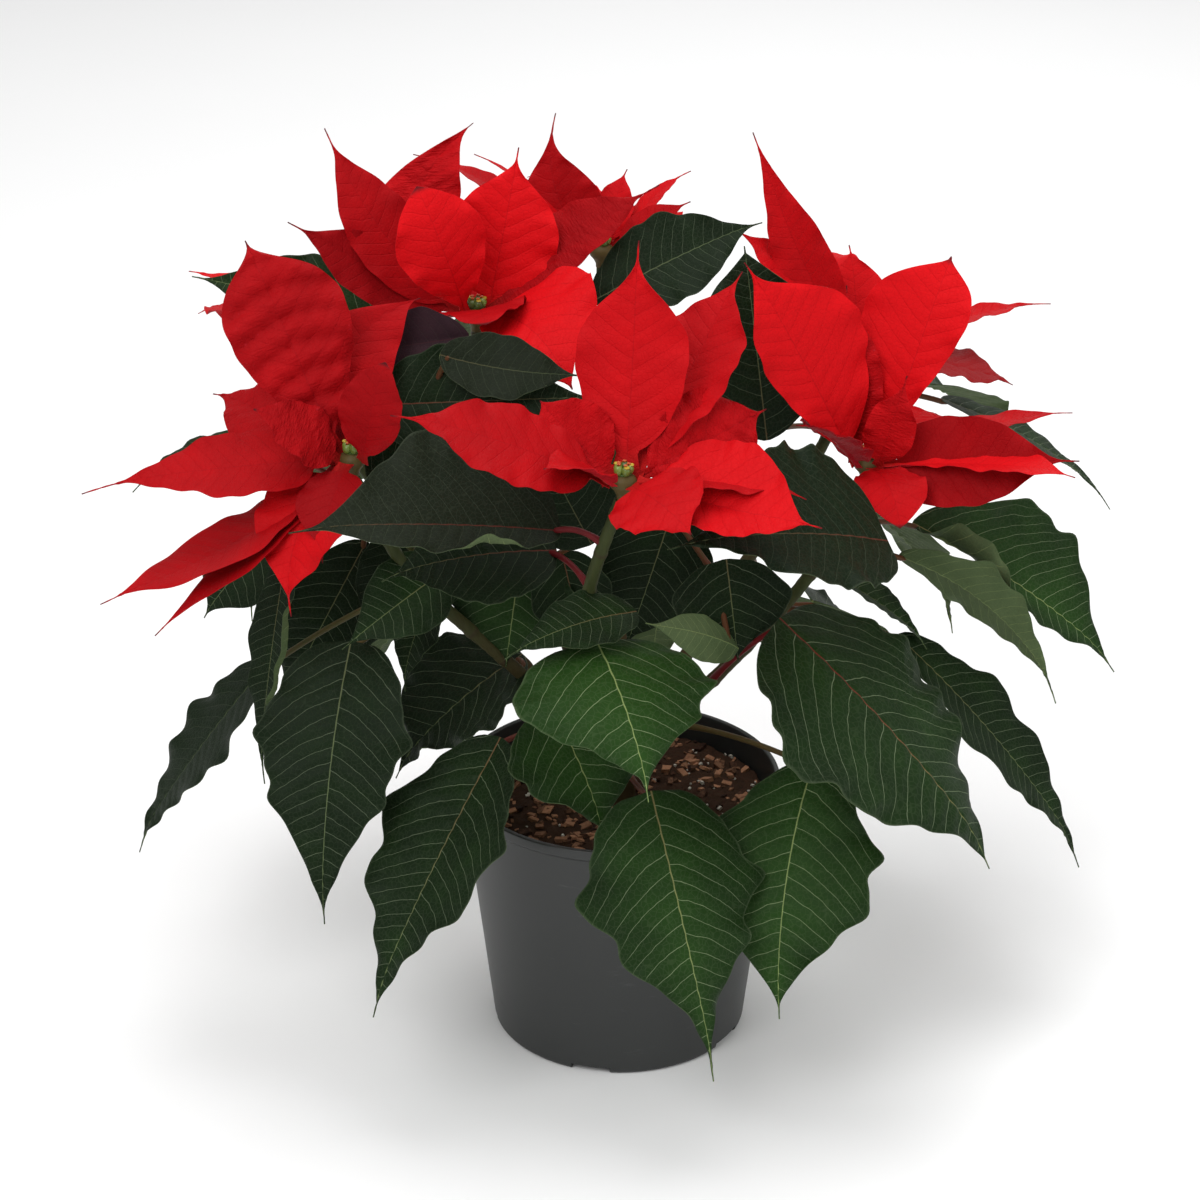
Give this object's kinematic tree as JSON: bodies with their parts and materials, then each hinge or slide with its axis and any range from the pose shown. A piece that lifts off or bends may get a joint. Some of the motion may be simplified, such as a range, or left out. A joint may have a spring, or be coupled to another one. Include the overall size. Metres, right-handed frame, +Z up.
{
  "type": "potted poinsettia",
  "caption": "Bushy potted poinsettia with red bracts around small yellow-green cyathia, dark green leaves on arching stems, and a round tapered plastic nursery pot with soil.",
  "frame": {"origin": "middle of the pot's underside, on the surface it stands on", "axes": "+Z up through the pot's axis, -Y towards the side of the plant seen from the front, +X to the right of that view"},
  "size_m": [0.4093, 0.3187, 0.3623],
  "materials": {
    "pot_plastic": "satin dark grey moulded plastic",
    "soil": "loose brown bark and peat with pale grains",
    "stem": "smooth green to brownish stem",
    "leaf": "satin dark green leaf with pale veins",
    "bract": "velvety red bract with fine darker veins",
    "bud": "small yellow-green buds with red tips"
  },
  "bodies": {
    "root": {"pot": "pot_plastic", "soil": "soil", "stems": "stem", "leaf_front": "leaf", "leaf_front_right": "leaf", "leaf_right_front": "leaf", "leaf_right_mid": "leaf", "leaf_right_under": "leaf", "leaf_right_upper": "leaf", "leaf_right_back": "leaf", "leaf_centre_right": "leaf", "leaf_centre_left": "leaf", "leaf_centre_left_low": "leaf", "leaf_left_front": "leaf", "leaf_left_low": "leaf", "leaf_centre": "leaf", "leaf_centre_low": "leaf", "leaf_far_left": "leaf", "leaf_left_edge": "leaf", "leaf_left_small": "leaf", "leaf_left_behind": "leaf", "leaf_left_inner": "leaf", "leaf_top": "leaf", "leaf_top_low": "leaf", "leaf_purple": "leaf", "leaf_back_left": "leaf", "leaf_left_upper": "leaf", "leaf_back_a": "leaf", "leaf_back_b": "leaf", "leaf_back_c": "leaf", "leaf_back_d": "leaf", "leaf_back_e": "leaf", "leaf_back_f": "leaf", "leaf_back_g": "leaf", "leaf_back_h": "leaf", "leaf_back_i": "leaf", "leaf_back_j": "leaf", "leaf_back_k": "leaf", "leaf_back_l": "leaf", "leaf_centre_top": "leaf", "leaf_right_small": "leaf", "shoot_left": "leaf", "shoot_right": "leaf", "shoot_upper": "leaf", "shoot_middle": "leaf", "bloom_front": "bract", "cyathia_front": "bud", "bloom_left": "bract", "cyathia_left": "bud", "bloom_upper_left": "bract", "cyathia_upper_left": "bud", "bloom_right": "bract", "cyathia_right": "bud", "bloom_upper_right": "bract", "cyathia_upper_right": "bud", "bloom_back": "bract", "cyathia_back": "bud", "bloom_far_left": "bract", "cyathia_far_left": "bud"}
  },
  "joints": []
}
